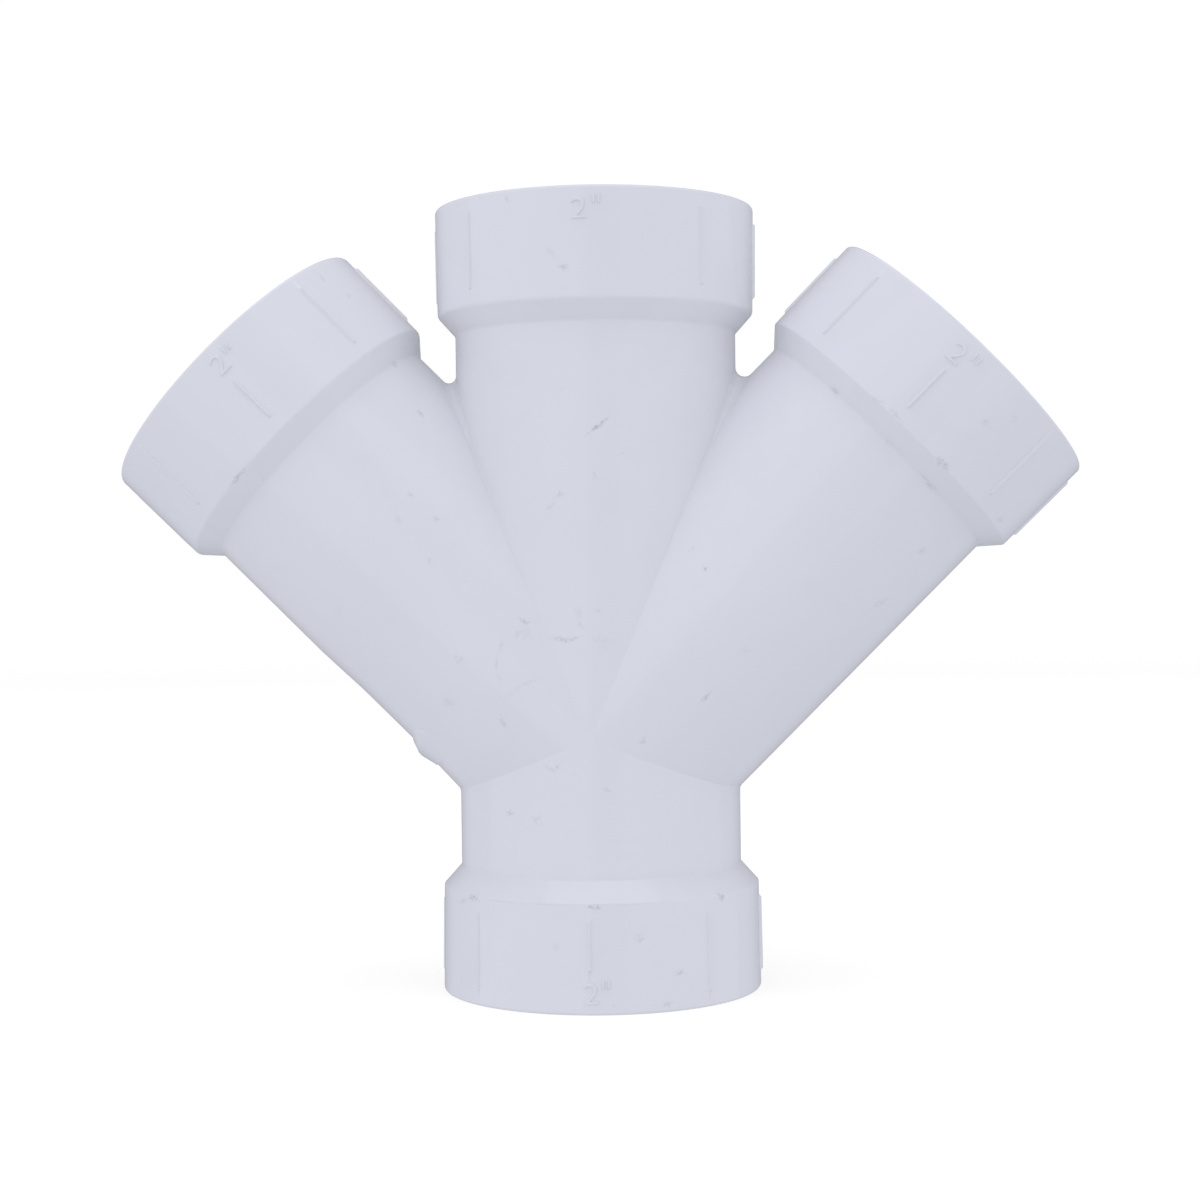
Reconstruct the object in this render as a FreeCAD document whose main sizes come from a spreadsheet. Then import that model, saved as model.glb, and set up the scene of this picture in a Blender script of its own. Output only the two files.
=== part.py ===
import FreeCAD, Part
import math
import os
import Sketcher

# Double wye, all hub ends, for 2 inch drain pipe. One moulded piece.
# The frame stands on the rim of the lower hub, with +Z along the run and +X towards
# the right branch. The marked side faces -Y. All lengths are millimetres.

SIZES = [
    ("socket_bore", 60.4, "inside of a hub, over the pipe"),
    ("socket_depth", 19.1, "rim to the pipe stop"),
    ("hub_wall", 4.1, "wall of a hub round its socket"),
    ("hub_length", 21.8, "rim to the edge of the shoulder"),
    ("shoulder_length", 4.5, "cone from the hub down to the body"),
    ("waterway", 52.5, "bore of the run and of the branches"),
    ("body_wall", 3.9, "wall between the hubs"),
    ("branch_angle", 45.0, "degrees from the run to a branch"),
    ("foot_reach", 55.3, "crossing of the axes to the lower rim"),
    ("run_reach", 111.5, "crossing to the upper rim"),
    ("branch_reach", 111.1, "crossing to a branch rim"),
    ("mouth_chamfer", 0.8, "lead-in at the mouth of a socket"),
    ("web_depth", 3.2, "web in a crotch, over the bare crease"),
    ("web_fade", 0.3, "how far the ends of a web dive under the crease"),
    ("heel_fillet", 1.8, "between the run and the under side of a branch"),
    ("neck_fillet", 2.0, "foot of a shoulder"),
    ("shoulder_edge", 0.4, "bevel between a shoulder and its hub"),
    ("rim_edge", 0.35, "bevel on the outer edge of a rim"),
    ("rib_count", 8, "alignment ribs round a hub, the front one counted"),
    ("rib_width", 1.3, "root of a rib"),
    ("rib_top_width", 0.7, "top of a rib"),
    ("rib_height", 0.45, "how far a rib stands proud of its hub"),
    ("rib_root", 0.3, "how deep a rib starts in the wall"),
    ("rib_start", 3.2, "rim to a rib"),
    ("front_rib_start", 8.7, "rim to the shorter rib beside the size mark"),
    ("gate_start", 19.6, "crossing to the near side of the gate mark, along the left branch"),
    ("gate_ridge", 23.7, "crossing to the ridge of the gate mark"),
    ("gate_end", 26.9, "crossing to the far side of the gate mark"),
    ("gate_flare", 1.3, "how far each side of the gate mark spreads down to its root"),
    ("gate_root", 2.0, "how deep the gate mark starts in the wall"),
    ("gate_lip", 0.15, "how far its sides stand proud before they slope"),
    ("gate_height", 1.25, "ridge of the gate mark proud of the branch"),
    ("gate_root_width", 23.0, "root of the gate mark round the branch"),
    ("gate_lip_width", 10.0, "lip of the gate mark round the branch"),
    ("gate_ridge_width", 3.0, "ridge of the gate mark round the branch"),
    ("gate_ridge_length", 0.4, "ridge of the gate mark along the branch"),
]

doc = FreeCAD.newDocument("double_wye")
sheet = doc.addObject("Spreadsheet::Sheet", "Sizes")
for row, (name, value, note) in enumerate(SIZES, 1):
    sheet.set(f"A{row}", name)
    sheet.set(f"B{row}", str(value))
    sheet.set(f"C{row}", note)
    sheet.setAlias(f"B{row}", name)
doc.recompute()

BODY_RADIUS = "(Sizes.waterway / 2 + Sizes.body_wall)"
HUB_RADIUS = "(Sizes.socket_bore / 2 + Sizes.hub_wall)"

# Each leg runs out from the crossing: its name, its angle from straight up, turning
# towards the left branch, its reach, and whether a size mark shortens its front rib.
LEGS = [
    ("foot", "180", "Sizes.foot_reach", True),
    ("run", "0", "Sizes.run_reach", False),
    ("left", "Sizes.branch_angle", "Sizes.branch_reach", True),
    ("right", "-Sizes.branch_angle", "Sizes.branch_reach", True),
]

body_radius = sheet.waterway / 2 + sheet.body_wall
hub_radius = sheet.socket_bore / 2 + sheet.hub_wall

body = doc.addObject("PartDesign::Body", "double_wye")
body.Label = "double_wye"
front_plane = [p for p in body.Origin.OriginFeatures if p.Role == "XZ_Plane"][0]


def lay_along(item, angle, place="vector(0; 0; 0)", turn="rotation(vector(0; 0; 1); 0)"):
    """Attach an item in a leg's own frame: x across it, y out along it, z to the front."""
    item.AttachmentSupport = [(front_plane, "")]
    item.MapMode = "FlatFace"
    item.setExpression(
        "AttachmentOffset",
        "placement(vector(0; Sizes.foot_reach; 0);"
        f" rotation(vector(0; 0; 1); {angle}))"
        f" * placement({place}; {turn})",
    )


def draw_outline(sketch, corners):
    """Draw a closed outline; each corner is a pair of formulas from the sheet."""
    count = len(corners)
    start = [FreeCAD.Vector(20 + 3 * i, 30 + 7 * (i % 2) + i, 0) for i in range(count)]
    for i in range(count):
        sketch.addGeometry(Part.LineSegment(start[i], start[(i + 1) % count]))
    for i in range(count):
        sketch.addConstraint(Sketcher.Constraint("Coincident", i, 2, (i + 1) % count, 1))
    for i, (across, along) in enumerate(corners):
        for kind, axis, formula in (("DistanceX", -2, across), ("DistanceY", -1, along)):
            if formula == "0":
                sketch.addConstraint(Sketcher.Constraint("PointOnObject", i, 1, axis))
                continue
            placed = sketch.addConstraint(Sketcher.Constraint(kind, -1, 1, i, 1, 25.0))
            sketch.setExpression(f"Constraints[{placed}]", formula)


def draw_half_ellipse(sketch, along, across):
    """Draw half an ellipse round the origin, of the given half lengths, and close it."""
    long_half, short_half = 80, 30  # a rough start, well apart, for the sketch to be drawn with
    rough = Part.Ellipse(
        FreeCAD.Vector(0, long_half, 0),
        FreeCAD.Vector(short_half, 0, 0),
        FreeCAD.Vector(0, 0, 0),
    )
    arc = sketch.addGeometry(Part.ArcOfEllipse(rough, -math.pi / 2, math.pi / 2))
    ends = FreeCAD.Vector(short_half, 0, 0), FreeCAD.Vector(-short_half, 0, 0)
    chord = sketch.addGeometry(Part.LineSegment(*ends))
    sketch.exposeInternalGeometry(arc)
    long_axis, short_axis = chord + 1, chord + 2
    sketch.addConstraint(Sketcher.Constraint("Coincident", arc, 3, -1, 1))
    sketch.addConstraint(Sketcher.Constraint("Vertical", long_axis))
    sketch.addConstraint(Sketcher.Constraint("Horizontal", chord))
    for end in (1, 2):
        sketch.addConstraint(Sketcher.Constraint("Coincident", chord, end, arc, 3 - end))
    sketch.addConstraint(Sketcher.Constraint("PointOnObject", chord, 1, -1))
    for axis, half, formula in ((long_axis, long_half, along), (short_axis, short_half, across)):
        sized = sketch.addConstraint(Sketcher.Constraint("Distance", axis, 2.0 * half))
        sketch.setExpression(f"Constraints[{sized}]", f"2 * ({formula})")


def turn_profile(kind, name, angle, corners):
    """Revolve an outline round a leg's axis, as added material or as a cut."""
    sketch = body.newObject("Sketcher::SketchObject", name + "_profile")
    lay_along(sketch, angle)
    draw_outline(sketch, corners)
    doc.recompute()
    before = body.Shape.Volume if body.Tip else 0.0
    turned = body.newObject(kind, name)
    turned.Profile = sketch
    turned.ReferenceAxis = (sketch, ["V_Axis"])
    turned.Angle = 360
    turned.Refine = True
    finish(turned)
    change = body.Shape.Volume - before
    grows = kind == "PartDesign::Revolution"
    if (change > 0) != grows:
        raise RuntimeError(f"{name} changed the volume by {change:.1f}")
    return sketch


def finish(feature):
    """Make a feature the body's tip and check that it worked."""
    body.Tip = feature
    doc.recompute()
    if "Invalid" in feature.State or "Error" in feature.State:
        raise RuntimeError(f"{feature.Name} failed: {feature.State}")


def dress_edges(kind, name, picked, size):
    """Fillet or chamfer the edges of the body that the given test picks."""
    base = body.Tip
    edges = [
        f"Edge{i}"
        for i, edge in enumerate(base.Shape.Edges, 1)
        if not edge.Degenerated and picked(edge)
    ]
    dressed = body.newObject(f"PartDesign::{kind}", name)
    dressed.Base = (base, edges)
    dressed.setExpression("Radius" if kind == "Fillet" else "Size", f"Sizes.{size}")
    finish(dressed)


def is_heel(edge):
    """True for the outer ellipses under the crossing, where a branch leaves the run."""
    if not isinstance(edge.Curve, Part.Ellipse) or abs(edge.Curve.MinorRadius - body_radius) > 0.001:
        return False
    return edge.BoundBox.Center.z < sheet.foot_reach


def is_ring(edge, radius, drop):
    """True for a circle of the given radius, the given way back from its leg's rim."""
    if not isinstance(edge.Curve, Part.Circle) or abs(edge.Curve.Radius - radius) > 0.001:
        return False
    out = edge.Curve.Center - FreeCAD.Vector(0, 0, sheet.foot_reach)
    reaches = (sheet.foot_reach, sheet.run_reach, sheet.branch_reach)
    return any(abs(out.Length - (reach - drop)) < 0.001 for reach in reaches)


# Outside of each leg: the body, the shoulder and the hub.
profiles = {}
for name, angle, reach, marked in LEGS:
    hub_start = f"({reach} - Sizes.hub_length)"
    outside = [
        ("0", "0"),
        (BODY_RADIUS, "0"),
        (BODY_RADIUS, f"{hub_start} - Sizes.shoulder_length"),
        (HUB_RADIUS, hub_start),
        (HUB_RADIUS, reach),
        ("0", reach),
    ]
    profiles[name] = turn_profile("PartDesign::Revolution", name + "_outside", angle, outside)

# A web rounds each crotch: a half ellipse in the plane of the crease, a little longer
# than the crease and a little narrower, so that it shows in the crotch and fades out.
for side, angle in (("left", "Sizes.branch_angle / 2"), ("right", "-Sizes.branch_angle / 2")):
    sketch = body.newObject("Sketcher::SketchObject", side + "_web_outline")
    lay_along(sketch, angle, turn="rotation(vector(0; 1; 0); 90)")
    draw_half_ellipse(
        sketch,
        f"{BODY_RADIUS} / sin(Sizes.branch_angle / 2) + Sizes.web_depth",
        f"{BODY_RADIUS} - Sizes.web_fade",
    )
    web = body.newObject("PartDesign::Pad", side + "_web")
    web.Profile = sketch
    web.SideType = "Symmetric"
    web.setExpression("Length", "Sizes.body_wall")
    finish(web)

# Inside of each leg: the waterway from the crossing, the pipe stop and the socket.
for name, angle, reach, marked in LEGS:
    stop = f"({reach} - Sizes.socket_depth)"
    inside = [
        ("0", "0"),
        ("Sizes.waterway / 2", "0"),
        ("Sizes.waterway / 2", stop),
        ("Sizes.socket_bore / 2", stop),
        ("Sizes.socket_bore / 2", f"{reach} - Sizes.mouth_chamfer"),
        ("Sizes.socket_bore / 2 + Sizes.mouth_chamfer", reach),
        ("0", reach),
    ]
    turn_profile("PartDesign::Groove", name + "_inside", angle, inside)

# Edges of the hubs and the heels.
neck_drop = sheet.hub_length + sheet.shoulder_length
dress_edges("Fillet", "necks", lambda e: is_ring(e, body_radius, neck_drop), "neck_fillet")
dress_edges("Chamfer", "shoulders", lambda e: is_ring(e, hub_radius, sheet.hub_length), "shoulder_edge")
dress_edges("Chamfer", "rims", lambda e: is_ring(e, hub_radius, 0.0), "rim_edge")
dress_edges("Fillet", "heels", is_heel, "heel_fillet")


def add_rib(name, angle, reach, start, spin):
    """Add a drafted rib on a hub, from near the rim to the level of the pipe stop."""
    sketch = body.newObject("Sketcher::SketchObject", name + "_section")
    lay_along(
        sketch,
        angle,
        f"vector(0; {reach} - Sizes.socket_depth; 0)",
        f"rotation(vector(0; 1; 0); 180 + {spin}) * rotation(vector(1; 0; 0); -90)",
    )
    section = [
        ("-Sizes.rib_width / 2", f"{HUB_RADIUS} - Sizes.rib_root"),
        ("Sizes.rib_width / 2", f"{HUB_RADIUS} - Sizes.rib_root"),
        ("Sizes.rib_top_width / 2", f"{HUB_RADIUS} + Sizes.rib_height"),
        ("-Sizes.rib_top_width / 2", f"{HUB_RADIUS} + Sizes.rib_height"),
    ]
    draw_outline(sketch, section)
    rib = body.newObject("PartDesign::Pad", name)
    rib.Profile = sketch
    rib.setExpression("Length", f"Sizes.socket_depth - {start}")
    finish(rib)
    return rib


# Alignment ribs round each hub: one in front, shorter where the size mark sits beside
# it, and the rest a pattern that goes round the back from one side of it to the other.
for name, angle, reach, marked in LEGS:
    rib = add_rib(name + "_rib", angle, reach, "Sizes.rib_start", "360 / Sizes.rib_count")
    ribs = body.newObject("PartDesign::PolarPattern", name + "_ribs")
    ribs.Originals = [rib]
    ribs.Axis = (profiles[name], ["V_Axis"])
    ribs.setExpression("Angle", "360 - 720 / Sizes.rib_count")
    ribs.setExpression("Occurrences", "Sizes.rib_count - 1")
    finish(ribs)
    if marked:
        add_rib(name + "_front_rib", angle, reach, "Sizes.front_rib_start", "0")

# What is left of the gate, cut off on the parting line under the left branch. Its sides
# rise out of the wall to a lip and slope from there to a short ridge.
GATE_LEVELS = [
    (
        "Sizes.gate_start - Sizes.gate_flare",
        "Sizes.gate_end + Sizes.gate_flare",
        "Sizes.gate_root_width / 2",
        "0 - Sizes.gate_root",
    ),
    (
        "Sizes.gate_start",
        "Sizes.gate_end",
        "Sizes.gate_lip_width / 2",
        "Sizes.gate_lip",
    ),
    (
        "Sizes.gate_ridge - Sizes.gate_ridge_length / 2",
        "Sizes.gate_ridge + Sizes.gate_ridge_length / 2",
        "Sizes.gate_ridge_width / 2",
        "Sizes.gate_height",
    ),
]
for name, low, high in (
    ("gate_sides", GATE_LEVELS[0], GATE_LEVELS[1]),
    ("gate_slopes", GATE_LEVELS[1], GATE_LEVELS[2]),
):
    block = body.newObject("PartDesign::AdditiveWedge", name)
    lay_along(
        block,
        "Sizes.branch_angle",
        f"vector(0 - {BODY_RADIUS} - ({low[3]}); 0; 0)",
        "rotation(vector(0; 0; 1); 90)",
    )
    for prop, formula in (
        ("Ymin", "0"),
        ("Ymax", f"({high[3]}) - ({low[3]})"),
        ("Xmin", low[0]),
        ("Xmax", low[1]),
        ("Zmin", f"-{low[2]}"),
        ("Zmax", low[2]),
        ("X2min", high[0]),
        ("X2max", high[1]),
        ("Z2min", f"-{high[2]}"),
        ("Z2max", high[2]),
    ):
        block.setExpression(prop, formula)
    finish(block)

for item in doc.Objects:
    if "Invalid" in item.State or "Error" in item.State:
        raise RuntimeError(f"{item.Name} is {item.State}")
shape = body.Shape
if shape.isNull() or not shape.isValid() or len(shape.Solids) != 1:
    raise RuntimeError("the fitting isn't one valid solid")

os.makedirs("parts", exist_ok=True)
shape.exportStep(f"parts/{body.Label}.step")
print(body.Label, round(shape.Volume / 1000, 2), "cm3", len(shape.Faces), "faces", shape.BoundBox)
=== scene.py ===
import math

import bmesh
import bpy
import numpy as np
from mathutils import Matrix, Vector
from mathutils.bvhtree import BVHTree


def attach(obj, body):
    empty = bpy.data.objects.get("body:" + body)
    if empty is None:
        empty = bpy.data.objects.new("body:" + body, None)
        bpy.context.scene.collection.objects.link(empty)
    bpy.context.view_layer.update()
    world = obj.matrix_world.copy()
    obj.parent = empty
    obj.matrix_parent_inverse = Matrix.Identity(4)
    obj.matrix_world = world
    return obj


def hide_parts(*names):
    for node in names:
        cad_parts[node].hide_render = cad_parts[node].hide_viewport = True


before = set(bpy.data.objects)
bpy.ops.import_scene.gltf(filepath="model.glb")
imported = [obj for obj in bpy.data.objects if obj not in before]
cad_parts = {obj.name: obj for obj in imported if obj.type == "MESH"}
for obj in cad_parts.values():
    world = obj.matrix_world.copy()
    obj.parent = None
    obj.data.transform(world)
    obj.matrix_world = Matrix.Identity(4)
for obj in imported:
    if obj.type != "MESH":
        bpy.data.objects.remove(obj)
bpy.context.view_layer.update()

# Sizes of the fitting are millimetres in the frame of the model, whose origin is the middle
# of the lower rim, with +Z along the run and the marked side facing -Y.
MM = 0.001
TINY = 1e-6
CROSSING = np.array([0.0, 0.0, 55.3])
FRONT = np.array([0.0, -1.0, 0.0])
BODY_R = 30.15
WATER_R = 26.25
HUB_R = 34.2
HUB_BASE_R = 33.9
SOCKET_R = 30.2
SOCKET_DEPTH = 19.1
HUB_LENGTH = 22.5
SHOULDER_LENGTH = 4.15
MOUTH_CHAMFER = 0.8
# Roundings of a rim's outside, of the two edges of its chamfer and of the pipe stop.
RIM_ROUND, MOUTH_ROUND, CHAMFER_ROUND, STOP_ROUND = 0.65, 0.15, 0.3, 0.4

# Each leg: its angle from straight up towards +X, its reach from the crossing to its rim,
# where its front rib starts, counted from the rim, or None where there is none, and the
# rounding at the narrow and at the wide end of its shoulder.
LEGS = {
    "foot": (180.0, 55.3, 8.7, 0.6, 0.4),
    "run": (0.0, 111.5, None, 1.0, 1.4),
    "left": (-45.0, 111.1, 8.7, 1.0, 1.0),
    "right": (45.0, 111.1, 8.7, 1.0, 0.7),
}
# How many degrees the three ribs that show in front are turned from their even spacing,
# from the one at -45 degrees to the one at +45.
RIB_TURNS = {
    "foot": (1.6, 0.8, 0.0),
    "run": (-0.1, 0.0, -1.4),
    "left": (3.5, 2.7, -0.6),
    "right": (0.6, -2.0, -2.5),
}

# Where two legs meet: the two legs, the side of each that faces the other, and the
# rounding outside and inside. A side is +1 where it lies along the leg's own across axis.
JOINS = [
    ("run", 1, "right", -1, 1.95, 0.8),
    ("run", -1, "left", 1, 1.71, 0.8),
    ("right", 1, "foot", -1, 1.8, 0.8),
    ("left", -1, "foot", 1, 1.8, 0.8),
]

# Camera: a pinhole fitted to the outline of the fitting in the photograph. Its turns are in
# degrees, its focal length and the picture's width in the photograph's pixels, and its last
# line is the crossing as the camera sees it: mm to the right, ahead and up.
YAW, PITCH, ROLL = -3.602, 0.619, -0.681
FOCAL, PICTURE = 2153.548, 1200.0
SENSOR = 36.0
SEEN_FROM = Vector((-0.012, 465.992, -27.874))


def place_camera():
    """Put the camera where the photograph was taken from."""
    turn = (
        Matrix.Rotation(math.radians(ROLL), 3, "Y")
        @ Matrix.Rotation(math.radians(PITCH), 3, "X")
        @ Matrix.Rotation(math.radians(YAW), 3, "Z")
    )
    camera = bpy.data.objects.new("camera", bpy.data.cameras.new("camera"))
    camera.data.sensor_width = SENSOR
    camera.data.lens = SENSOR * FOCAL / PICTURE
    camera.data.clip_start, camera.data.clip_end = 0.01, 50.0
    right, ahead, up = turn.row
    pose = Matrix((right, up, -ahead)).transposed().to_4x4()
    pose.translation = (Vector(CROSSING) - turn.transposed() @ SEEN_FROM) * MM
    camera.matrix_world = pose
    bpy.context.scene.collection.objects.link(camera)
    bpy.context.scene.camera = camera


def leg_axes(name):
    """Along and across axes of a leg, as unit vectors."""
    a = math.radians(LEGS[name][0])
    return np.array([math.sin(a), 0, math.cos(a)]), np.array([math.cos(a), 0, -math.sin(a)])


def slope_between(one, other):
    """How far out along a leg its crease with another runs, for each mm across."""
    gap = abs((LEGS[one][0] - LEGS[other][0] + 180) % 360 - 180)
    return 1 / math.tan(math.radians(gap / 2))


# Ribs: half the width of the top and of the foot, the height, and where they start and end,
# counted from the rim. A ramp at each end starts a little beyond that place.
RIB_HALF, RIB_FOOT, RIB_HEIGHT = 0.07, 0.5, 0.5
RIB_START, RIB_END = 3.2, 19.15
START_BEYOND, END_BEYOND, RAMP_LENGTH = 0.15, 0.3, 0.6
# A row of a leg faces outwards where the outward share of its normal is over FACES_OUT, and
# follows the ribs' turns where its radius is over TURNED_R.
FACES_OUT, TURNED_R = 0.99, 31.15
# The shallow flat beside the gate: its depth, and how far along the left branch and how
# far round from its underside it fades in and out.
FLAT_DEPTH, FLAT_START, FLAT_FULL, FLAT_FADE, FLAT_END = 0.5, 14.0, 26.0, 40.0, 56.0
FLAT_TURN, FLAT_SOFT = 35.0, 25.0
# The rounding of a crease in front, and the cosine of the turn where it starts to tighten.
CREASE_BALL, CREASE_TURN = 0.3, 0.8

# Samples round a leg, in radians from the across axis towards the front. They are dense at
# the eight ribs, where RIB_STEPS has their mm from a rib's middle, and mirror each other
# from side to side, so that neighbours share them.
EIGHTH = math.pi / 4
RIB_STEPS = (0.0, 0.1, 0.2, 0.3, 0.4, 0.48, 0.58, 0.85)
STEPS_BETWEEN = 12
near = [s / HUB_R for s in RIB_STEPS]
between = np.linspace(near[-1], EIGHTH - near[-1], STEPS_BETWEEN + 1)[1:-1]
step = [*near, *between, *[EIGHTH - s for s in near[::-1]]][:-1]
AROUND = np.array([k * EIGHTH + s for k in range(8) for s in step])
# Samples along a hub and along a socket, in mm from the rim, dense where ribs start and end.
HUB_DROPS = (19.5, 19.3, 19.1, 18.9, 18.7, 14.0, 9.2, 9.0, 8.8, 8.6, 6.0, 3.7, 3.5, 3.3, 3.1)
SOCKET_DROPS = (6.0, 12.0)
# Steps along a neck and over a crease, and samples along the waterway as shares of it.
NECK_STEPS, CREASE_STEPS = 12, 10
WATER_SHARES = (0.3, 0.65, 1.0)
# A rounded corner has a step about every so many degrees, and so many steps at least.
CORNER_DEGREES, CORNER_STEPS = 12, 3
# Points in the same cell of this size become one, and slopes are taken over this length.
WELD = 2e-4
SLOPE_STEP = 1e-4


def ease(x):
    """Smooth step from 0 at x = 0 to 1 at x = 1."""
    x = np.clip(x, 0, 1)
    return x * x * (3 - 2 * x)


def rib_relief(angle, drop, front_start):
    """Height of the ribs at an angle round a hub and a drop from its rim."""
    place = (angle + EIGHTH / 2) % EIGHTH - EIGHTH / 2
    section = ease((RIB_FOOT - abs(place) * HUB_R) / (RIB_FOOT - RIB_HALF))
    front = np.cos(angle - math.pi / 2) > math.cos(EIGHTH / 2)
    start = np.where(front, RIB_START if front_start is None else front_start, RIB_START)
    height = section * ease((drop - start + START_BEYOND) / RAMP_LENGTH)
    height = height * ease((RIB_END + END_BEYOND - drop) / RAMP_LENGTH)
    if front_start is None:
        height = np.where(front, 0.0, height)
    return RIB_HEIGHT * height


def flat_relief(angle, out):
    """Depth of the flat under the left branch at an angle round it and a place along it."""
    turned = abs(np.degrees(angle) % 360 - 180)
    along = ease((out - FLAT_START) / (FLAT_FULL - FLAT_START))
    along = along * ease((FLAT_END - out) / (FLAT_END - FLAT_FADE))
    return -FLAT_DEPTH * along * ease((FLAT_TURN - turned) / FLAT_SOFT)


def relief(name, radius, outward, angle, out):
    """How far ribs and flat lift a row of a leg at angles round it and places along it."""
    reach, front_start = LEGS[name][1:3]
    if outward > FACES_OUT and radius > HUB_BASE_R - TINY:
        return rib_relief(angle, reach - out, front_start)
    if outward > FACES_OUT and radius == BODY_R and name == "left":
        return flat_relief(angle, out)
    return np.zeros(len(AROUND))


def rib_turn(name):
    """How far the samples round a hub are turned so that they follow its ribs."""
    place = (90 - np.degrees(AROUND) + 180) % 360 - 180
    return -np.radians(np.interp(place, (-90, -45, 0, 45, 90), (0, *RIB_TURNS[name], 0)))


def rounded(corners, extra):
    """Points and normals along a path whose corners are rounded.

    corners is [(u, r, radius)], the ends kept as they are; extra gives more places along u
    for the straight piece that leads to a corner of that number.
    """
    points = []
    for i in range(1, len(corners) - 1):
        p, q, s = (np.array(corners[j][:2], float) for j in (i - 1, i, i + 1))
        radius = corners[i][2]
        d0, d1 = (q - p) / np.linalg.norm(q - p), (s - q) / np.linalg.norm(s - q)
        bend = math.acos(np.clip(d0 @ d1, -1, 1))
        sign = 1 if d0[0] * d1[1] - d0[1] * d1[0] > 0 else -1
        n0 = np.array([-d0[1], d0[0]])
        middle = q - d0 * radius * math.tan(bend / 2) + sign * n0 * radius
        for u in extra.get(i, ()):
            points.append((u, np.interp(u, *zip(*sorted([tuple(p), tuple(q)]))), *n0))
        count = max(CORNER_STEPS, round(math.degrees(bend) / CORNER_DEGREES))
        for k in range(count + 1):
            a = sign * bend * k / count
            n = n0 * math.cos(a) - d0 * math.sin(a)
            points.append((*(middle - sign * n * radius), *n))
    return points


def rounding(ball, turn):
    """The rounding of a crease at turns from the plane of the axes; it tightens in front."""
    share = ease((abs(np.cos(turn)) - CREASE_TURN) / (1 - CREASE_TURN))
    return CREASE_BALL + (ball - CREASE_BALL) * share


def leg_surface(name):
    """Points and normals of a leg as arrays [round, along, xyz], from crease to crease."""
    _, reach, _, narrow, wide = LEGS[name]
    along, across = leg_axes(name)
    hub = reach - HUB_LENGTH
    path = rounded(
        [
            (0, BODY_R, 0),
            (hub - SHOULDER_LENGTH, BODY_R, narrow),
            (hub, HUB_BASE_R, wide),
            (reach, HUB_R, RIM_ROUND),
            (reach, SOCKET_R + MOUTH_CHAMFER, MOUTH_ROUND),
            (reach - MOUTH_CHAMFER, SOCKET_R, CHAMFER_ROUND),
            (reach - SOCKET_DEPTH, SOCKET_R, STOP_ROUND),
            (reach - SOCKET_DEPTH, WATER_R, STOP_ROUND),
            (0, WATER_R, 0),
        ],
        {3: [reach - d for d in HUB_DROPS], 6: [reach - d for d in SOCKET_DROPS]},
    )
    start, end = np.zeros(len(AROUND)), np.zeros(len(AROUND))
    for one, side, other, other_side, outer, inner in JOINS:
        if name not in (one, other):
            continue
        mine = side if name == one else other_side
        reachable = np.clip(mine * np.cos(AROUND), 0, None) * slope_between(one, other)
        start += reachable * (BODY_R + rounding(outer, AROUND))
        end += reachable * (WATER_R + inner)
    first, last = path[0][0], path[-1][0]
    columns = []
    for t in np.arange(0, 1, 1 / NECK_STEPS):
        columns.append((start + (first - start) * t, BODY_R, 0.0, 1.0))
    columns += [(np.full(len(AROUND), u), r, nu, nr) for u, r, nu, nr in path]
    for t in WATER_SHARES:
        columns.append((last + (end - last) * t, WATER_R, 0.0, -1.0))
    points, normals = [], []
    for u, r, nu, nr in columns:
        placed = AROUND + rib_turn(name) if r > TURNED_R else AROUND
        radial = np.cos(placed)[:, None] * across + np.sin(placed)[:, None] * FRONT
        tangent = -np.sin(placed)[:, None] * across + np.cos(placed)[:, None] * FRONT
        lift = relief(name, r, nr, AROUND, u)
        slide = (relief(name, r, nr, AROUND + SLOPE_STEP, u) - lift) / (SLOPE_STEP * r)
        climb = (relief(name, r, nr, AROUND, u + SLOPE_STEP) - lift) / SLOPE_STEP
        points.append(CROSSING + u[:, None] * along + (r + lift)[:, None] * radial)
        n = nr * radial + nu * along - slide[:, None] * tangent - climb[:, None] * along
        normals.append(n / np.linalg.norm(n, axis=1, keepdims=True))
    return np.stack(points, 1), np.stack(normals, 1)


def join_surface(one, side, other, other_side, radius, ball):
    """The rounding between two legs of a radius, as arrays like leg_surface gives."""
    half = AROUND[AROUND <= math.pi / 2 + TINY]
    spread = np.concatenate([-half[::-1][:-1], half])
    ball = (rounding(ball, spread) if radius == BODY_R else np.full(len(spread), ball))[:, None]
    along, across = leg_axes(one)
    across_other = leg_axes(other)[1] * other_side
    lean, level = np.cos(spread)[:, None], np.sin(spread)[:, None] * FRONT
    out = slope_between(one, other) * (radius + ball) * lean * along
    centre = CROSSING + out + (radius + ball) * (lean * across * side + level)
    d0 = -(lean * across * side + level)
    d1 = -(lean * across_other + level)
    gap = np.arccos(np.clip((d0 * d1).sum(1), -1, 1))[:, None]
    points, normals = [], []
    for t in np.linspace(0, 1, CREASE_STEPS + 1):
        turned = np.sin((1 - t) * gap) * d0 + np.sin(t * gap) * d1
        d = np.where(gap > TINY, turned / np.maximum(np.sin(gap), TINY), d0)
        d = d / np.linalg.norm(d, axis=1, keepdims=True)
        points.append(centre + ball * d)
        normals.append(d)
    return np.stack(points, 1), np.stack(normals, 1)


def grid_faces(points, normals, closed):
    """Quads of a grid, wound so that they face the way its normals point."""
    rows, cols = points.shape[:2]
    i = np.arange(rows if closed else rows - 1)[:, None]
    j = np.arange(cols - 1)[None, :]
    here, there = i * cols + j, (i + 1) % rows * cols + j
    quads = np.stack(np.broadcast_arrays(here, there, there + 1, here + 1), -1).reshape(-1, 4)
    corners = points.reshape(-1, 3)[quads]
    facing = np.cross(corners[:, 2] - corners[:, 0], corners[:, 3] - corners[:, 1])
    if (facing * normals.reshape(-1, 3)[quads].mean(1)).sum() < 0:
        quads = quads[:, ::-1]
    return quads


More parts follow.
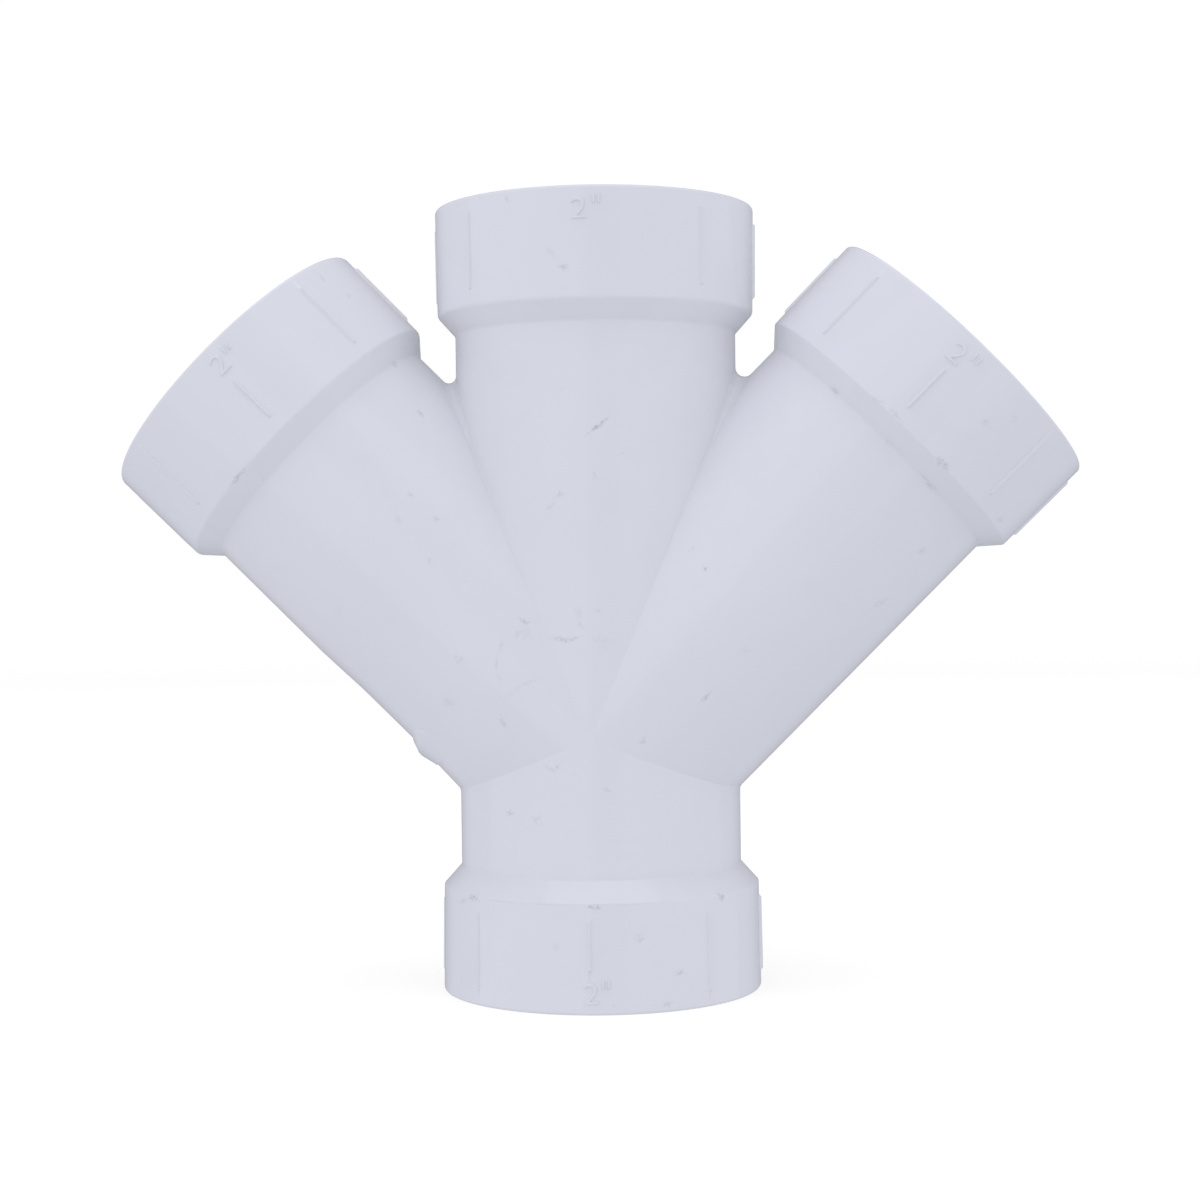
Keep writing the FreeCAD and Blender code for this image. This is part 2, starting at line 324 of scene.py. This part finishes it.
def fitting_mesh():
    """The whole fitting as one welded mesh with exact normals."""
    sheets = []
    for name in LEGS:
        points, normals = leg_surface(name)
        along = leg_axes(name)[0]
        off_axis = points - CROSSING
        off_axis -= (off_axis @ along)[..., None] * along
        sheets.append((points, normals, True, (off_axis * normals).sum(-1) > 0))
    for one, side, other, other_side, outer, inner in JOINS:
        points, normals = join_surface(one, side, other, other_side, BODY_R, outer)
        sheets.append((points, -normals, False, np.ones(points.shape[:2], bool)))
        points, normals = join_surface(one, side, other, other_side, WATER_R, inner)
        sheets.append((points, normals, False, np.zeros(points.shape[:2], bool)))
    points = np.concatenate([s[0].reshape(-1, 3) for s in sheets])
    normals = np.concatenate([s[1].reshape(-1, 3) for s in sheets])
    is_outside = np.concatenate([s[3].reshape(-1) for s in sheets])
    quads, base = [], 0
    for p, n, closed, _ in sheets:
        quads.append(grid_faces(p, n, closed) + base)
        base += p.shape[0] * p.shape[1]
    quads = np.concatenate(quads)
    keys = np.round(points / WELD).astype(np.int64)
    first, same = np.unique(keys, axis=0, return_index=True, return_inverse=True)[1:]
    same = same.reshape(-1)
    faces = []
    for quad in same[quads]:
        corners = [v for n, v in enumerate(quad) if v != quad[n - 1]]
        if len(set(corners)) == len(corners) and len(corners) > 2:
            faces.append([int(v) for v in corners])
    mesh = bpy.data.meshes.new("fitting")
    mesh.from_pydata([tuple(p) for p in points[first] * MM], [], faces)
    mesh.validate()
    mesh.shade_smooth()
    mesh.normals_split_custom_set_from_vertices([tuple(n) for n in normals[first]])
    outside = mesh.attributes.new("outside", "FLOAT", "POINT")
    outside.data.foreach_set("value", is_outside[first].astype(float))
    return mesh


def smooth_mesh(bm, name):
    """Turn a bmesh into a mesh with smooth faces that all look outwards."""
    bmesh.ops.recalc_face_normals(bm, faces=bm.faces)
    mesh = bpy.data.meshes.new(name)
    bm.to_mesh(mesh)
    bm.free()
    mesh.shade_smooth()
    return mesh


def add_piece(name, mesh, material):
    """Put a mesh in the scene as a piece of the fitting."""
    piece = bpy.data.objects.new(name, mesh)
    bpy.context.scene.collection.objects.link(piece)
    mesh.materials.append(material)
    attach(piece, "root")
    return piece


def on_leg(name, drop, turned, radius):
    """A point over a hub: its drop from the rim, turn from the front and radius."""
    along, across = leg_axes(name)
    reach = LEGS[name][1]
    radial = math.cos(turned) * FRONT + math.sin(turned) * across
    return (CROSSING + (reach - drop) * along + radius * radial) * MM


# Raised size mark on a hub: the drop of its numeral's middle from the rim and its turn from
# the front, then the same for each inch mark. A sign of -1 turns it upside down.
SIZE_MARKS = {
    "run": (1, (4.7, -1.5), (2.9, 3.5), (2.9, 5.3)),
    "foot": (-1, (4.45, 0.35), (6.2, -3.8), (6.2, -5.6)),
    "left": (1, (4.3, 3.2), (2.9, 7.5), (2.9, 9.5)),
    "right": (1, (4.75, -2.7), (3.1, 2.2), (3.1, 4.3)),
}
MARK_RELIEF, NUMERAL_HEIGHT, NUMERAL_WIDTH = 0.32, 4.2, 2.95
# An inch mark's length, width, lower end's share of the width and bevel.
STROKE_LENGTH, STROKE_WIDTH, STROKE_TAPER, STROKE_BEVEL = 1.9, 0.44, 0.8, 0.11
# How close points of the numeral become one, in its own units, and from how many degrees
# an edge of a mark stays sharp.
NUMERAL_WELD, MARK_SHARP = 1e-5, 50


def numeral_mesh():
    """A flat numeral 2 with soft edges, its face up, in units of its font size."""
    text = bpy.data.curves.new("numeral", "FONT")
    text.body = "2"
    text.size = 1.0
    text.resolution_u = 6
    text.extrude = 0.03
    text.bevel_depth = 0.02
    text.bevel_resolution = 2
    text.offset = -0.02
    holder = bpy.data.objects.new("numeral", text)
    bpy.context.scene.collection.objects.link(holder)
    bpy.context.view_layer.update()
    evaluated = holder.evaluated_get(bpy.context.evaluated_depsgraph_get())
    mesh = bpy.data.meshes.new_from_object(evaluated)
    bpy.data.objects.remove(holder)
    return mesh


def size_mark(name, material):
    """The raised numeral and inch marks of one hub as one piece."""
    sign, numeral, *strokes = SIZE_MARKS[name]
    bm = bmesh.new()
    bm.from_mesh(numeral_mesh())
    bmesh.ops.remove_doubles(bm, verts=bm.verts, dist=NUMERAL_WELD)
    spots = np.array([v.co for v in bm.verts])
    low, high = spots.min(0), spots.max(0)
    size = np.array([NUMERAL_WIDTH, NUMERAL_HEIGHT, MARK_RELIEF * 2])
    for v in bm.verts:
        v.co = (np.array(v.co) - (low + high) / 2) / (high - low) * size
    parts = [(list(bm.verts), numeral)]
    for stroke in strokes:
        made = bmesh.ops.create_cube(bm, size=1.0)["verts"]
        for v in made:
            width = STROKE_WIDTH * (STROKE_TAPER if v.co.y < 0 else 1.0)
            v.co = (v.co.x * width, v.co.y * STROKE_LENGTH, v.co.z * MARK_RELIEF * 2)
        edges = list({e for v in made for e in v.link_edges})
        done = bmesh.ops.bevel(
            bm, geom=edges, offset=STROKE_BEVEL, segments=2, affect="EDGES", profile=0.5
        )
        parts.append(({v for f in done["faces"] for v in f.verts}, stroke))
    for verts, (drop, turned) in parts:
        for v in verts:
            x, y, z = v.co
            around = math.radians(turned) + sign * x / HUB_R
            v.co = on_leg(name, drop - sign * y, around, HUB_R + z)
    mesh = smooth_mesh(bm, "size_mark_" + name)
    mesh.set_sharp_from_angle(angle=math.radians(MARK_SHARP))
    add_piece("size_mark_" + name, mesh, material)


# The wedge left where the gate was cut off, under the left branch: at degrees round the
# branch from its underside, the mm along it of the near end, the ridge and the far end, and
# the ridge's height over the pipe. It is the same on both sides of the underside.
GATE_ROWS = np.array([
    (0.0, 19.7, 22.9, 26.0, 1.12),
    (31.4, 19.1, 27.0, 27.8, 0.3),
    (35.4, 19.6, 25.7, 26.2, 0.16),
    (38.2, 20.4, 20.7, 21.0, 0.05),
])
GATE_TURNS = (0.0, 5.2, 10.4, 15.7, 20.9, 26.2, 31.4, 33.4, 35.4, 36.8, 38.2)
# Places from the near end (0) over the ridge (1) to the far end (2), with shares of the
# ridge's height.
GATE_PROFILE = (
    (0.0, 0.04),
    (0.3, 0.33),
    (0.6, 0.62),
    (0.88, 0.88),
    (1.0, 0.96),
    (1.12, 0.86),
    (1.5, 0.46),
    (2.0, 0.0),
)
# How far over the pipe's surface its root lies, and from how many degrees an edge of it
# stays sharp.
GATE_ROOT, GATE_SHARP = -1.2, 40


def gate_mark(material):
    """The low wedge under the left branch, where the gate was cut off."""
    along, across = leg_axes("left")
    bm = bmesh.new()

    def sheet(height):
        """A grid of vertices over the mark; height(share, rise) gives their heights."""
        grid = []
        for turned in [-turned for turned in GATE_TURNS[:0:-1]] + list(GATE_TURNS):
            side = abs(turned)
            *ends, rise = (np.interp(side, GATE_ROWS[:, 0], row) for row in GATE_ROWS.T[1:])
            a = math.radians(turned)
            radial = -math.cos(a) * across + math.sin(a) * FRONT
            grid.append([])
            for place, share in GATE_PROFILE:
                out = np.interp(place, (0, 1, 2), ends) * along
                spot = CROSSING + out + (BODY_R + height(share, rise)) * radial
                grid[-1].append(bm.verts.new(spot * MM))
        return grid

    top = sheet(lambda share, rise: share * rise)
    root = sheet(lambda share, rise: GATE_ROOT)
    rows, cols = len(top), len(top[0])
    for grid in (top, root):
        for i in range(rows - 1):
            for j in range(cols - 1):
                bm.faces.new((grid[i][j], grid[i + 1][j], grid[i + 1][j + 1], grid[i][j + 1]))
    rim = [(0, j) for j in range(cols)]
    rim += [(i, cols - 1) for i in range(1, rows)]
    rim += [(rows - 1, j) for j in range(cols - 2, -1, -1)]
    rim += [(i, 0) for i in range(rows - 2, 0, -1)]
    for (i, j), (k, n) in zip(rim, rim[1:] + rim[:1]):
        bm.faces.new((top[i][j], top[k][n], root[k][n], root[i][j]))
    mesh = smooth_mesh(bm, "gate_mark")
    mesh.set_sharp_from_angle(angle=math.radians(GATE_SHARP))
    add_piece("gate_mark", mesh, material)


def new_material(name):
    """A new node material, its shader, a way to add nodes to it and one to link them."""
    material = bpy.data.materials.new(name)
    material.use_nodes = True
    tree = material.node_tree
    tree.nodes.clear()
    output = tree.nodes.new("ShaderNodeOutputMaterial")
    shader = tree.nodes.new("ShaderNodeBsdfPrincipled")
    tree.links.new(shader.outputs[0], output.inputs["Surface"])

    def add(kind, values=None, **settings):
        node = tree.nodes.new("ShaderNode" + kind)
        for key, value in settings.items():
            setattr(node, key, value)
        for key, value in (values or {}).items():
            if hasattr(value, "outputs"):
                value = value.outputs[0]
            if isinstance(value, bpy.types.NodeSocket):
                tree.links.new(value, node.inputs[key])
            else:
                node.inputs[key].default_value = value
        return node

    return material, shader, add, tree.links.new


# Scuffs and specks of dirt on the front: the leg, then where the mark starts and ends, each
# as mm from the crossing and degrees round from the front, its half width in mm and its
# strength.
SCUFFS = [
    ("run", 61.8, 0.0, 65.0, 8.2, 0.32, 1.0),
    ("run", 49.2, -12.4, 49.9, -9.6, 0.5, 0.55),
    ("run", 46.6, -16.6, 48.0, -13.3, 0.5, 0.3),
    ("run", 27.2, -4.6, 24.4, -3.8, 0.55, 0.36),
    ("run", 23.9, -4.6, 22.6, -2.6, 0.3, 0.4),
    ("run", 20.7, -14.3, 20.2, -10.3, 0.4, 0.6),
    ("run", 20.0, -10.7, 20.3, -6.8, 0.5, 0.75),
    ("run", 20.3, -7.2, 20.8, -4.4, 0.35, 0.5),
    ("run", 20.1, 0.2, 19.3, 9.1, 1.0, 0.25),
    ("run", 26.4, 3.4, 26.0, 3.8, 0.4, 0.4),
    ("run", 53.7, 2.5, 52.7, 3.3, 0.4, 0.3),
    ("run", 95.6, -8.6, 94.8, -5.2, 0.5, 0.5),
    ("run", 98.9, -12.0, 97.3, -10.3, 0.5, 0.35),
    ("run", 109.9, -27.9, 108.8, -26.7, 0.5, 0.3),
    ("left", 27.3, 14.1, 25.5, 14.9, 0.35, 0.7),
    ("left", 26.9, 7.8, 23.2, 13.7, 1.0, 0.3),
    ("left", 26.8, 3.7, 25.5, -2.1, 0.35, 0.3),
    ("left", 25.5, -2.1, 23.3, -7.1, 0.3, 0.36),
    ("left", 23.3, -7.1, 21.0, -8.8, 0.35, 0.32),
    ("left", 18.3, -12.0, 17.5, -3.9, 0.4, 0.26),
    ("left", 18.1, -6.1, 16.0, 3.2, 0.35, 0.3),
    ("left", 16.5, -18.8, 14.2, -20.7, 0.35, 0.5),
    ("left", 54.2, 19.0, 53.5, 19.3, 0.6, 0.5),
    ("left", 73.0, 48.6, 72.1, 48.5, 0.55, 0.6),
    ("left", 59.8, 8.9, 59.0, 8.6, 0.45, 0.45),
    ("left", 61.4, 18.6, 60.8, 18.6, 0.45, 0.45),
    ("left", 31.3, -14.7, 29.7, -13.3, 0.7, 0.4),
    ("left", 27.3, -32.1, 24.9, -29.3, 0.9, 0.3),
    ("left", 49.1, 6.0, 48.2, 5.9, 0.5, 0.3),
    ("left", 88.8, -26.7, 88.7, -15.5, 0.4, 0.8),
    ("left", 107.9, 56.7, 106.3, 55.8, 0.4, 0.5),
    ("left", 101.6, 60.6, 101.1, 60.1, 0.4, 0.45),
    ("left", 84.7, 59.1, 84.0, 59.6, 0.5, 0.8),
    ("right", 21.0, 20.7, 23.8, 20.8, 0.32, 0.8),
    ("right", 41.0, -14.8, 40.8, -14.0, 0.3, 1.0),
    ("right", 41.3, -24.7, 42.9, -23.8, 0.35, 0.3),
    ("right", 34.3, 17.8, 34.9, 21.3, 0.8, 0.3),
    ("right", 7.1, 14.4, 7.3, 15.9, 0.6, 0.5),
    ("right", 58.8, 47.6, 62.9, 51.3, 0.6, 0.4),
    ("right", 89.0, -12.5, 89.0, -9.1, 0.38, 0.6),
    ("right", 89.0, -6.0, 89.3, -0.9, 0.38, 0.55),
    ("right", 89.0, 16.7, 88.9, 22.0, 0.5, 0.9),
    ("right", 84.9, -29.0, 84.9, -25.0, 0.38, 0.7),
    ("right", 84.7, -2.4, 85.0, 9.9, 0.4, 0.4),
    ("right", 84.7, 19.8, 84.6, 29.3, 0.45, 0.55),
    ("right", 100.7, 19.9, 100.6, 20.7, 0.4, 0.5),
    ("right", 106.0, 25.4, 104.6, 30.0, 0.5, 0.3),
    ("right", 89.3, 57.1, 91.2, 57.7, 0.7, 0.5),
    ("right", 73.6, 45.0, 74.9, 46.2, 0.7, 0.4),
    ("foot", 5.5, 17.5, 6.4, 14.6, 0.3, 0.5),
    ("foot", 6.4, 15.0, 4.6, 10.9, 0.3, 0.42),
    ("foot", 10.1, -5.3, 10.5, -6.5, 0.5, 0.35),
    ("foot", 15.2, 35.7, 15.6, 33.6, 0.5, 0.6),
    ("foot", 16.6, 23.3, 16.5, 20.7, 0.9, 0.35),
    ("foot", 33.2, 51.7, 33.1, 44.4, 0.45, 0.9),
    ("foot", 34.7, 58.5, 33.9, 50.4, 0.5, 0.5),
    ("foot", 33.4, 0.7, 33.4, -3.0, 0.4, 1.0),
    ("foot", 32.9, -49.1, 33.5, -51.2, 0.55, 1.0),
    ("foot", 40.2, -15.3, 39.8, -17.4, 0.6, 0.5),
    ("foot", 47.6, -29.2, 47.6, -32.7, 0.45, 0.5),
    ("foot", 53.7, -25.0, 53.4, -27.2, 0.45, 0.5),
    ("foot", 41.3, 12.6, 41.7, 11.9, 0.5, 0.35),
    ("foot", 33.1, 42.0, 33.1, 25.0, 0.14, 0.4),
    ("foot", 33.1, 23.0, 33.1, 6.0, 0.12, 0.3),
    ("foot", 33.1, -4.0, 33.1, -20.0, 0.12, 0.25),
]
# A scuff's rings, as shares of the way from its middle to its edge, with their strengths.
SCUFF_RINGS = ((0.0, 1.0), (0.3, 0.82), (0.6, 0.5), (0.82, 0.22), (1.0, 0.0))
# How many sides a scuff has and how ragged they are, how many mm it runs on past each end,
# how much it widens its half width, and how many mm it keeps from the rim.
SCUFF_SIDES, SCUFF_RAGGED, SCUFF_OVERRUN = 18, 0.4, 0.7
SCUFF_SPREAD, SCUFF_MARGIN = 1.9, 1.0
# How high its edge lies over the plastic, how much higher its middle, and how deep its root.
SCUFF_RIM, SCUFF_RISE, SCUFF_ROOT = 0.006, 0.02, 0.15
SCUFF_SEED = 5
# How far over the plastic a line starts that looks for the surface.
LOOK_FROM = 3.0


def drop_to(tree, mesh, above, towards):
    """The place in mm where a line from a point meets a mesh, and its smooth normal."""
    spot, _, index, _ = tree.ray_cast(Vector(above * MM), Vector(towards))
    face = mesh.polygons[index]
    normal = Vector((0, 0, 0))
    for vertex, corner in zip(face.vertices, face.loop_indices):
        nearness = 1 / ((mesh.vertices[vertex].co - spot).length + TINY)
        normal += mesh.corner_normals[corner].vector * nearness
    return np.array(spot) / MM, np.array(normal.normalized())


def on_surface(tree, mesh, name, out, turned):
    """The place on the outside of a leg, in mm, and its normal, found towards its axis."""
    along, across = leg_axes(name)
    radial = math.cos(turned) * FRONT + math.sin(turned) * across
    return drop_to(tree, mesh, CROSSING + out * along + (HUB_R + LOOK_FROM) * radial, -radial)


def scuff_patches(fitting, material):
    """Thin dirty patches that lie on the surface, darker towards their middles."""
    body = fitting.data
    tree = BVHTree.FromObject(fitting, bpy.context.evaluated_depsgraph_get())
    random = np.random.default_rng(SCUFF_SEED)
    bm = bmesh.new()
    darkness = bm.verts.layers.float.new("darkness")
    outward = []
    for name, out0, turn0, out1, turn1, half_width, strength in SCUFFS:
        start, face0 = on_surface(tree, body, name, out0, math.radians(turn0))
        end, face1 = on_surface(tree, body, name, out1, math.radians(turn1))
        facing = (face0 + face1) / np.linalg.norm(face0 + face1)
        x = end - start
        half_length = np.linalg.norm(x) / 2 + SCUFF_OVERRUN
        x -= (x @ facing) * facing
        x /= np.linalg.norm(x)
        y = np.cross(facing, x)
        along = leg_axes(name)[0]
        furthest = LEGS[name][1] - SCUFF_MARGIN
        wobble = 1 + SCUFF_RAGGED * random.uniform(-1, 1, SCUFF_SIDES)
        rings = []
        for reach, dark in SCUFF_RINGS:
            made = []
            for k in range(SCUFF_SIDES if reach else 1):
                a = 2 * math.pi * k / SCUFF_SIDES
                aside = x * half_length * math.cos(a)
                aside += y * half_width * SCUFF_SPREAD * math.sin(a)
                over = (start + end) / 2 + aside * reach * wobble[k] + LOOK_FROM * facing
                over -= along * max(0, (over - CROSSING) @ along - furthest)
                spot, normal = drop_to(tree, body, over, -facing)
                rise = SCUFF_RIM + SCUFF_RISE * (1 - reach)
                vert = bm.verts.new((spot + normal * rise) * MM)
                vert[darkness] = dark * strength
                outward.append(normal)
                made.append((vert, spot, normal))
            rings.append([v for v, spot, normal in made])
        root = [bm.verts.new((spot - normal * SCUFF_ROOT) * MM) for v, spot, normal in made]
        outward += [normal for v, spot, normal in made]
        rings.append(root)
        for k in range(SCUFF_SIDES):
            n = (k + 1) % SCUFF_SIDES
            bm.faces.new((rings[0][0], rings[1][k], rings[1][n]))
            for low, high in zip(rings[1:], rings[2:]):
                bm.faces.new((low[k], high[k], high[n], low[n]))
        bm.faces.new(root[::-1])
    mesh = smooth_mesh(bm, "scuffs")
    mesh.normals_split_custom_set_from_vertices([tuple(n) for n in outward])
    add_piece("scuffs", mesh, material)


# Colours of the plastic, of its pale clouds and its dark swirls, and of dirt on it.
PLASTIC, CLOUDED = (0.895, 0.898, 0.912, 1.0), (0.912, 0.914, 0.926, 1.0)
SWIRLED, DIRTY = (0.872, 0.875, 0.889, 1.0), (0.36, 0.36, 0.39, 1.0)
PLASTIC_IOR = 1.53
# How much duller dirt makes it.
DIRT_DULLS = 0.3
# Depths in metres of its peel, its waves and the mould's parting line, and how far from the
# middle plane that line starts to fade and is gone.
PEEL_DEPTH, WAVE_DEPTH, LINE_DEPTH = 0.000003, 0.000008, 0.00006
LINE_FADE = (0.00005, 0.00022)


def pvc_material(name, scuffed):
    """White moulded pipe plastic: faint clouds, a parting line, specks and any scuffs."""
    material, shader, add, link = new_material(name)
    here = add("TexCoord").outputs["Object"]

    def noise(scale, detail, roughness=0.5, distortion=0.0):
        shape = {"Scale": scale, "Detail": detail, "Roughness": roughness}
        return add("TexNoise", {"Vector": here, **shape, "Distortion": distortion})

    def remap(value, source, target):
        return add("MapRange", dict(enumerate((value, *source, *target))))

    def mix(share, one, other):
        return add("Mix", {0: share, 6: one, 7: other}, data_type="RGBA").outputs[2]

    clouds = noise(scale=26.0, detail=4.0, roughness=0.6)
    swirl = noise(scale=70.0, detail=3.0, distortion=1.4)
    peel = noise(scale=850.0, detail=2.0)
    waves = noise(scale=55.0, detail=1.0)

    # Colour: a little paler in soft clouds and darker in swirls.
    plain = mix(remap(clouds, (0.35, 0.65), (0.0, 1.0)), PLASTIC, CLOUDED)
    plastic = mix(remap(swirl, (0.56, 0.72), (0.0, 0.3)), plain, SWIRLED)

    # Dirt: ragged on the scuffs, and specks of dust elsewhere.
    if scuffed:
        ragged = noise(scale=1400.0, detail=4.0, roughness=0.75)
        breakup = remap(ragged, (0.38, 0.66), (0.1, 1.9))
        depth = add("Attribute", attribute_name="darkness").outputs["Fac"]
        deep = add("Math", {0: depth, 1: breakup}, operation="MULTIPLY")
        dirt = remap(deep, (0.06, 1.4), (0.0, 0.55))
    else:
        dust = add("TexVoronoi", {"Vector": here, "Scale": 90.0}).outputs["Distance"]
        dirt = remap(dust, (0.014, 0.032), (0.16, 0.0))
    link(mix(dirt, plastic, DIRTY), shader.inputs["Base Color"])

    # Gloss: duller in the clouds and on the dirt.
    gloss = remap(clouds, (0.3, 0.7), (0.06, 0.1))
    duller = add("Math", {0: dirt, 1: DIRT_DULLS, 2: gloss}, operation="MULTIPLY_ADD")
    link(duller.outputs[0], shader.inputs["Roughness"])
    shader.inputs["IOR"].default_value = PLASTIC_IOR

    # Relief: a faint peel, slow waves and a fine line where the mould halves met.
    split = add("SeparateXYZ", {0: here}).outputs["Y"]
    off_line = add("Math", {0: split}, operation="ABSOLUTE")
    line = remap(off_line, LINE_FADE, (1.0, 0.0))
    outside = add("Attribute", attribute_name="outside").outputs["Fac"]
    line = add("Math", {0: line, 1: outside}, operation="MULTIPLY")
    bump = None
    for height, depth in ((peel, PEEL_DEPTH), (waves, WAVE_DEPTH), (line, LINE_DEPTH)):
        settings = {"Height": height, "Strength": 1.0, "Distance": depth}
        if bump:
            settings["Normal"] = bump
        bump = add("Bump", settings)
    link(bump.outputs[0], shader.inputs["Normal"])
    return material


# A pale round floor that curves up into a low wall on all sides, in metres: the radius of
# its middle, where its bend starts, the bend's radius and the wall's top.
FLOOR_MIDDLE, FLOOR_R, BEND, WALL_TOP = 0.05, 1.5, 0.7, 1.4
FLOOR_SIDES, BEND_STEPS = 72, 14
# It is a little yellow, which cancels the blue of the studio's light, and it glows, so that
# it comes out as white as the photograph's background.
FLOOR_COLOUR, FLOOR_ROUGHNESS = (0.95, 0.933, 0.837, 1), 0.9
FLOOR_GLOW, WHITE = 0.38, (1, 1, 1, 1)


def pale_floor():
    """The floor under the fitting, which the camera sees but the fitting doesn't."""
    bm = bmesh.new()
    line = [(FLOOR_MIDDLE, 0.0)]
    for k in range(BEND_STEPS + 1):
        a = math.pi / 2 * k / BEND_STEPS
        line.append((FLOOR_R + BEND * math.sin(a), BEND - BEND * math.cos(a)))
    line.append((FLOOR_R + BEND, WALL_TOP))
    turns = [2 * math.pi * k / FLOOR_SIDES for k in range(FLOOR_SIDES)]
    rings = []
    for r, z in line:
        rings.append([bm.verts.new((r * math.cos(t), r * math.sin(t), z)) for t in turns])
    for low, high in zip(rings, rings[1:]):
        for k in range(FLOOR_SIDES):
            n = (k + 1) % FLOOR_SIDES
            bm.faces.new((low[k], high[k], high[n], low[n]))
    bm.faces.new(rings[0])
    mesh = smooth_mesh(bm, "floor")
    if mesh.polygons[-1].normal.z < 0:
        mesh.flip_normals()
    floor = bpy.data.objects.new("floor", mesh)
    bpy.context.scene.collection.objects.link(floor)
    floor.visible_glossy = False
    floor.visible_diffuse = False
    floor.visible_shadow = False
    pale, shader = new_material("pale_floor")[:2]
    shader.inputs["Base Color"].default_value = FLOOR_COLOUR
    shader.inputs["Roughness"].default_value = FLOOR_ROUGHNESS
    shader.inputs["Emission Color"].default_value = WHITE
    shader.inputs["Emission Strength"].default_value = FLOOR_GLOW
    mesh.materials.append(pale)
    return floor


# The light overhead, in metres and watts, and how far the walls of light stand away.
OVERHEAD_HEIGHT, OVERHEAD_SIDE, OVERHEAD_WATTS = 1.6, 1.5, 3.75
LIGHT_DISTANCE = 1.5
# Walls of light: name, where each starts and ends in degrees from the front towards +X, its
# lower and upper edge in metres and its power in watts.
LIGHTS = [
    ("left_front", -3.4, -49.0, -0.46, 1.8, 2.65),
    ("left_side", -49.0, -97.0, -0.46, 1.8, 2.55),
    ("right_front", 21.0, 69.0, -0.46, 1.8, 2.1),
    ("right_side", 69.0, 117.0, -0.46, 1.8, 2.0),
]
# The studio's own level, and the slightly blue colour of all its light.
STUDIO_LEVEL = 0.673
STUDIO_TINT = (0.881, 0.897, 1.0)
# Behind the fitting the level is lower, which gives the photograph's darker outline: how
# far back a direction points where the fall starts and ends, and the share that is left.
BACK_START, BACK_FULL, BACK_SHARE = 0.62, 0.92, 0.7


def soft_light(name, place, aim, wide, high, watts):
    """A flat light that the camera doesn't see, in a place and facing a point."""
    lamp = bpy.data.lights.new(name, "AREA")
    lamp.shape = "RECTANGLE"
    lamp.size, lamp.size_y = wide, high
    lamp.energy = watts
    lamp.color = STUDIO_TINT
    holder = bpy.data.objects.new(name, lamp)
    holder.location = place
    holder.rotation_mode = "QUATERNION"
    holder.rotation_quaternion = (Vector(aim) - Vector(place)).to_track_quat("-Z", "Y")
    holder.visible_camera = False
    bpy.context.scene.collection.objects.link(holder)


def light_wall(name, start, end, low, high, watts):
    """An upright light, turned round the fitting from the front towards +X."""
    middle, half = math.radians(start + end) / 2, math.radians(end - start) / 2
    x, y = LIGHT_DISTANCE * math.sin(middle), -LIGHT_DISTANCE * math.cos(middle)
    level = (low + high) / 2
    wide = 2 * LIGHT_DISTANCE * math.tan(abs(half))
    soft_light(name, (x, y, level), (0, 0, level), wide, high - low, watts)


def overhead_light():
    """A square light that hangs over the fitting."""
    place, aim = (0, 0, OVERHEAD_HEIGHT), (0, 0, 0)
    soft_light("overhead", place, aim, OVERHEAD_SIDE, OVERHEAD_SIDE, OVERHEAD_WATTS)


def studio_world():
    """Even light from all sides, a little weaker straight behind the fitting."""
    world = bpy.data.worlds.new("studio")
    world.use_nodes = True
    nodes, links = world.node_tree.nodes, world.node_tree.links
    backwards = nodes.new("ShaderNodeSeparateXYZ")
    links.new(nodes.new("ShaderNodeTexCoord").outputs["Generated"], backwards.inputs[0])
    level = nodes.new("ShaderNodeMapRange")
    level.interpolation_type = "SMOOTHSTEP"
    fall = (BACK_START, BACK_FULL, STUDIO_LEVEL, STUDIO_LEVEL * BACK_SHARE)
    for key, value in enumerate(fall, 1):
        level.inputs[key].default_value = value
    links.new(backwards.outputs["Y"], level.inputs[0])
    nodes["Background"].inputs["Color"].default_value = (*STUDIO_TINT, 1)
    links.new(level.outputs[0], nodes["Background"].inputs["Strength"])
    bpy.context.scene.world = world
    bpy.context.scene.view_settings.view_transform = "Standard"


place_camera()
pvc = pvc_material("white_pvc", False)
fitting = add_piece("fitting", fitting_mesh(), pvc)
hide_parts("double_wye")
scuff_patches(fitting, pvc_material("scuffed_pvc", True))
for name in SIZE_MARKS:
    size_mark(name, pvc)
gate_mark(pvc)
floor = pale_floor()
for light in LIGHTS:
    light_wall(*light)
overhead_light()
studio_world()
